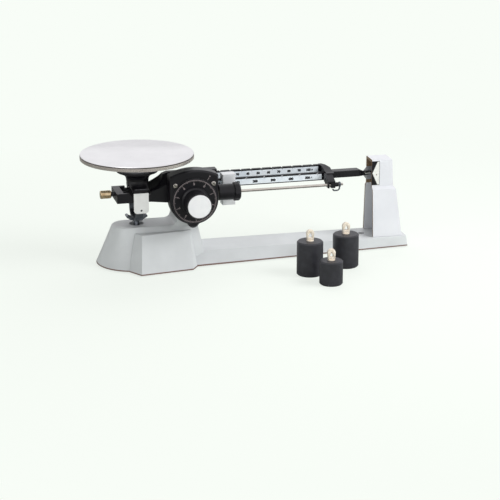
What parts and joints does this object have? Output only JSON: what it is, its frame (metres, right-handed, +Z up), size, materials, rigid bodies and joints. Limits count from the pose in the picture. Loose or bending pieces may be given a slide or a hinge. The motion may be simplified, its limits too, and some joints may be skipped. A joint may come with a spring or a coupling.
{
  "type": "triple beam balance",
  "caption": "Mechanical laboratory balance: round pan, tilting beam with notched rails and sliding poises, dial, tare rod, damped pointer tower and loose weights with eyes.",
  "frame": {"origin": "middle of the footprint of the whole set, on the table", "axes": "+X from the pan to the pointer tower, -Y towards the dial and the viewer, +Z up"},
  "size_m": [0.4512, 0.2496, 0.151],
  "materials": {
    "grey_enamel": "cool grey enamel, smooth satin",
    "tower_enamel": "pale grey enamel, smooth satin",
    "black_enamel": "satin black enamel",
    "beam_enamel": "satin black enamel on cast aluminium",
    "black_plastic": "matte black moulding",
    "scale_print": "pale plate with printed divisions",
    "satin_steel": "satin",
    "dark_steel": "dull grey",
    "hard_steel": "ground",
    "bright_plate": "bright plating",
    "pan_steel": "satin with a bright rim",
    "poise_enamel": "white enamel",
    "brass": "lightly polished",
    "magnet": "dark plated",
    "rubber": "matte",
    "weight_black": "fine textured black coating",
    "hub_aluminium": "cast, turned"
  },
  "bodies": {
    "stand": {"base_casting": "grey_enamel", "rubber_feet": "rubber", "check_link_pin": "hard_steel", "main_bearing_front": "hard_steel", "main_bearing_rear": "hard_steel", "pointer_tower": "tower_enamel", "tower_screws": "satin_steel", "index_plate": "black_plastic", "index_rivet": "bright_plate", "damper_yoke": "dark_steel", "damper_magnet_front": "magnet", "damper_magnet_rear": "magnet", "yoke_screw": "satin_steel"},
    "beam": {"beam_casting": "beam_enamel", "main_knife_edge": "hard_steel", "pan_knife_edges": "hard_steel", "rear_scale_plate": "scale_print", "centre_scale_plate": "scale_print", "damping_vane": "hub_aluminium", "vane_rivets": "bright_plate", "dial_housing": "black_enamel", "housing_back_plate": "black_enamel", "housing_screws": "satin_steel", "dial_bush": "brass", "tare_rod": "bright_plate", "rod_nut": "black_plastic"},
    "dial": {"dial_disc": "black_plastic", "dial_knob": "black_plastic", "dial_cap": "hub_aluminium", "dial_shaft": "hard_steel"},
    "tare_slider": {"tare_poise": "black_plastic", "tare_grip": "black_plastic"},
    "hanger": {"weight_hanger": "bright_plate"},
    "centre_slider": {"centre_poise": "poise_enamel", "centre_poise_pin": "hard_steel"},
    "rear_slider": {"rear_poise": "black_enamel", "rear_poise_pin": "hard_steel"},
    "zero_spindle": {"zero_screw": "hard_steel"},
    "zero_grip": {"zero_knob": "brass"},
    "pan_carrier": {"pan_support": "beam_enamel", "pan_bearings": "hard_steel", "side_plate_front": "satin_steel", "side_plate_rear": "satin_steel", "lower_bow": "dark_steel", "bow_rivets": "bright_plate", "stem_pin": "hard_steel"},
    "link": {"check_link": "dark_steel"},
    "pan": {"pan_plate": "pan_steel", "pan_hub": "hub_aluminium"},
    "large_weight_left": {"weight_1": "weight_black", "weight_1_eye": "brass"},
    "large_weight_right": {"weight_2": "weight_black", "weight_2_eye": "brass"},
    "small_weight_body": {"small_weight": "weight_black", "small_weight_eye": "brass"}
  },
  "joints": [
    {"name": "beam_tilt", "type": "hinge", "parent": "stand", "child": "beam", "pos_m": [-0.0879, 0.04865, 0.1035], "axis": [0, 1, 0], "range_deg": [-1.5, 1.5]},
    {"name": "pan_level", "type": "hinge", "parent": "beam", "child": "pan_carrier", "pos_m": [-0.1494, 0.04865, 0.1035], "axis": [0, 1, 0], "range_deg": [-1.5, 1.5]},
    {"name": "link_tilt", "type": "hinge", "parent": "stand", "child": "link", "pos_m": [-0.0903, 0.04865, 0.033], "axis": [0, 1, 0], "range_deg": [-1.5, 1.5]},
    {"name": "pan_lift", "type": "slide", "parent": "pan_carrier", "child": "pan", "axis": [0, 0, 1], "range_m": [0, 0.03]},
    {"name": "dial_turn", "type": "hinge", "parent": "beam", "child": "dial", "pos_m": [-0.0804, 0.00665, 0.0914], "axis": [0, -1, 0], "range_deg": [0, 324]},
    {"name": "tare_slide", "type": "slide", "parent": "beam", "child": "tare_slider", "axis": [1, 0, 0], "range_m": [0, 0.12]},
    {"name": "hanger_swing", "type": "hinge", "parent": "beam", "child": "hanger", "pos_m": [0.1256, 0.02265, 0.0962], "axis": [1, 0, 0], "range_deg": [-25, 25]},
    {"name": "centre_slide", "type": "slide", "parent": "beam", "child": "centre_slider", "axis": [1, 0, 0], "range_m": [0, 0.126]},
    {"name": "rear_slide", "type": "slide", "parent": "beam", "child": "rear_slider", "axis": [1, 0, 0], "range_m": [0, 0.146]},
    {"name": "zero_travel", "type": "slide", "parent": "beam", "child": "zero_spindle", "axis": [1, 0, 0], "range_m": [-0.0021, 0.0021]},
    {"name": "zero_turn", "type": "hinge", "parent": "zero_spindle", "child": "zero_grip", "pos_m": [-0.2001, 0.04865, 0.0964], "axis": [1, 0, 0], "range_deg": [-1080, 1080]},
    {"name": "left_weight_lift", "type": "slide", "parent": "stand", "child": "large_weight_left", "axis": [0, 0, 1], "range_m": [0, 0.06]},
    {"name": "right_weight_lift", "type": "slide", "parent": "stand", "child": "large_weight_right", "axis": [0, 0, 1], "range_m": [0, 0.06]},
    {"name": "small_weight_lift", "type": "slide", "parent": "stand", "child": "small_weight_body", "axis": [0, 0, 1], "range_m": [0, 0.06]}
  ],
  "couplings": [
    {"joint": "pan_level", "follows": "beam_tilt", "ratio": -1},
    {"joint": "link_tilt", "follows": "beam_tilt", "ratio": 1},
    {"joint": "zero_turn", "follows": "zero_travel", "rad_per_m": 8976}
  ]
}
